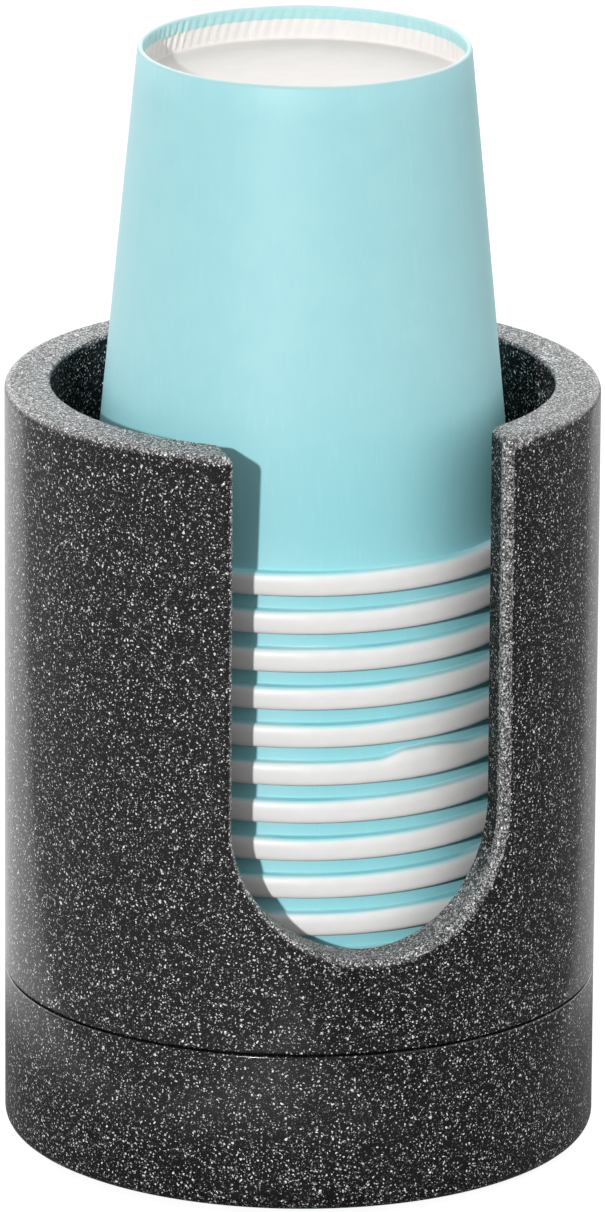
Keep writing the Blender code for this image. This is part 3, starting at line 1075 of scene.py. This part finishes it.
def build_cups(papers, disc_paper):
    """The nested stack; the cups share one floor disc, creased at the top cup's side seam."""
    disc = build_cup_bottom("cup_01_disc", disc_paper, radians(SEAM_DIRECTIONS[-1]))
    for number in range(1, CUP_COUNT + 1):
        body = f"cup_{number:02d}"
        seam = SEAM_DIRECTIONS[number - 1]
        bulge = RIM_BULGE if number == BULGED_CUP else PLAIN_BULGE
        cut_edge = INK if seam < SLOT_VIEW else WHITE
        side = build_cup_wall(f"{body}_side", number, papers, radians(seam), bulge, cut_edge)
        floor_disc = disc
        if number > 1:
            floor_disc = bpy.data.objects.new(f"{body}_disc", disc.data)
            bpy.context.scene.collection.objects.link(floor_disc)
        for item in (side, floor_disc):
            item.location = (0, 0, LOWEST_RIM + NEST_PITCH * (number - 1))
        attach(side, body, f"{body}_wall")
        attach(floor_disc, body, f"{body}_bottom")


def attach(piece, body, node):
    """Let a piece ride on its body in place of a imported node."""
    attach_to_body(piece, body)
    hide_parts(node)


# Stage, camera and light


def sweep_level(nodes):
    """How bright each place of the floor is to the gloss that mirrors it."""
    tip = SWEEP_TIP * view_direction(0, 0)
    away = nodes.vector("NORMALIZE", nodes.vector("SUBTRACT", nodes.position, tip))
    toward = nodes.vector("DOT_PRODUCT", away, view_direction(SWEEP_AZIMUTH, 0))
    to_right = nodes.vector("DOT_PRODUCT", away, view_direction(radians(90), 0))
    blend = (-SWEEP_LEVEL_BLEND, SWEEP_LEVEL_BLEND)
    level = nodes.ramp(to_right, *blend, SWEEP_LEFT_LEVEL, SWEEP_RIGHT_LEVEL)
    middle = nodes.ramp(toward, cos(SWEEP_WIDE), cos(SWEEP_NARROW), 1.0, SWEEP_MIDDLE_SHARE)
    edges = (cos(SWEEP_HALF_WIDTH + SWEEP_SOFTNESS), cos(SWEEP_HALF_WIDTH - SWEEP_SOFTNESS))
    wedge = nodes.math("MULTIPLY", nodes.ramp(toward, *edges), nodes.math("MULTIPLY", level, middle))
    side = nodes.ramp(to_right, *SWEEP_SIDE_FADE, SWEEP_SIDE_LEVEL, 0.0)
    clear = nodes.ramp(nodes.vector("LENGTH", nodes.position), SWEEP_START, SWEEP_FULL)
    return nodes.math("MULTIPLY", nodes.math("MAXIMUM", wedge, side), clear)


def stage_material():
    """Floor that is white to the camera and, behind the object, to the gloss that mirrors it."""
    nodes = Nodes("pale_floor")
    path = nodes.add("ShaderNodeLightPath").outputs
    tone = nodes.mix(nodes.noise(FLOOR_NOISE)["Fac"], *(grey(value) for value in FLOOR_TONES))
    nodes.link(tone, nodes.shader.inputs["Base Color"])
    nodes.shader.inputs["Roughness"].default_value = FLOOR_ROUGHNESS
    nodes.shader.inputs["Specular IOR Level"].default_value = FLOOR_SPECULAR
    mirrored = nodes.math("MULTIPLY", path["Is Glossy Ray"], sweep_level(nodes))
    seen = nodes.math("MULTIPLY", path["Is Camera Ray"], FLOOR_LEVEL)
    nodes.link(nodes.math("ADD", seen, mirrored), nodes.shader.inputs["Emission Strength"])
    nodes.shader.inputs["Emission Color"].default_value = (1.0, 1.0, 1.0, 1.0)
    nodes.material.cycles.emission_sampling = "NONE"
    return nodes.material


def build_floor():
    """Wide round floor under the object."""
    mesh = bmesh.new()
    bmesh.ops.create_circle(mesh, cap_ends=True, segments=STAGE_SEGMENTS, radius=STAGE_RADIUS)
    item = mesh_object("studio_floor", mesh, [stage_material()])


def build_camera():
    """Camera in front of the object, turned, tipped and rolled as the outlines ask."""
    data = bpy.data.cameras.new("camera")
    data.sensor_fit = "AUTO"
    data.sensor_width = CAMERA_SENSOR
    data.lens = CAMERA_LENS
    camera = bpy.data.objects.new("camera", data)
    bpy.context.scene.collection.objects.link(camera)
    place = Matrix.Rotation(CAMERA_AZIMUTH, 4, "Z")
    place @= Matrix.Translation((CAMERA_OFFSET, -CAMERA_REACH, CAMERA_HEIGHT))
    place @= Matrix.Rotation(0.5 * pi - CAMERA_PITCH, 4, "X")
    place @= Matrix.Rotation(CAMERA_ROLL, 4, "Z")
    camera.matrix_world = place
    bpy.context.scene.camera = camera


def view_direction(azimuth, elevation):
    """Unit vector from the object towards a place seen from the camera's side."""
    turn = azimuth + CAMERA_AZIMUTH
    return Vector((sin(turn) * cos(elevation), -cos(turn) * cos(elevation), sin(elevation)))


def build_key_light():
    """Small hard light from the front left, which draws the shadow in the slot."""
    data = bpy.data.lights.new("key", "SUN")
    data.energy = KEY_STRENGTH
    data.angle = KEY_SPREAD
    lamp = bpy.data.objects.new("key", data)
    bpy.context.scene.collection.objects.link(lamp)
    toward = view_direction(KEY_AZIMUTH, KEY_ELEVATION)
    lamp.rotation_euler = toward.to_track_quat("Z", "Y").to_euler()
    lamp.location = toward


def build_world():
    """White studio: soft light from behind, the sides and above, and little in front."""
    world = bpy.data.worlds.new("studio")
    world.use_nodes = True
    bpy.context.scene.world = world
    tree = world.node_tree
    tree.nodes.clear()

    def math(operation, first, second):
        node = tree.nodes.new("ShaderNodeMath")
        node.operation = operation
        for socket, value in zip(node.inputs, (first, second)):
            if isinstance(value, bpy.types.NodeSocket):
                tree.links.new(value, socket)
            else:
                socket.default_value = value
        return node.outputs[0]

    coordinates = tree.nodes.new("ShaderNodeTexCoord").outputs["Generated"]
    level = WORLD_LEVEL
    for azimuth, elevation, power, strength in SOFT_LIGHTS:
        dot = tree.nodes.new("ShaderNodeVectorMath")
        dot.operation = "DOT_PRODUCT"
        tree.links.new(coordinates, dot.inputs[0])
        dot.inputs[1].default_value = view_direction(radians(azimuth), radians(elevation))
        facing = math("POWER", math("MAXIMUM", dot.outputs["Value"], 0.0), power)
        level = math("ADD", math("MULTIPLY", facing, strength), level)
    path = tree.nodes.new("ShaderNodeLightPath").outputs["Is Camera Ray"]
    seen = math("ADD", path, math("MULTIPLY", math("SUBTRACT", 1.0, path), level))
    background = tree.nodes.new("ShaderNodeBackground")
    background.inputs["Color"].default_value = (1.0, 1.0, 1.0, 1.0)
    tree.links.new(seen, background.inputs["Strength"])
    output = tree.nodes.new("ShaderNodeOutputWorld")
    tree.links.new(background.outputs[0], output.inputs["Surface"])


def main():
    bpy.context.scene.view_settings.view_transform = "Standard"
    sleeve_stone = stone_material("speckled_stone_sleeve", (0.0, 0.0, 0.0), True)
    slot_stone = stone_material("speckled_stone_slot", (0.0, 0.0, 0.0), True, SLOT_WALL_SPECULAR)
    base_stone = stone_material("speckled_stone_base", BASE_STONE_SHIFT, False)
    print_paper = print_material()
    rim_paper = white_paper_material("coated_paper", *COATED_PAPER)
    disc_paper = white_paper_material("disc_paper", *DISC_PAPER)

    build_camera()
    attach(build_sleeve([sleeve_stone, slot_stone]), "sleeve", "sleeve")
    attach(build_base(base_stone), "base", "base")
    attach(build_foot_pad(foam_material()), "base", "foot_pad")
    build_cups([print_paper, rim_paper, hem_material()], disc_paper)
    build_floor()
    build_key_light()
    build_world()


main()
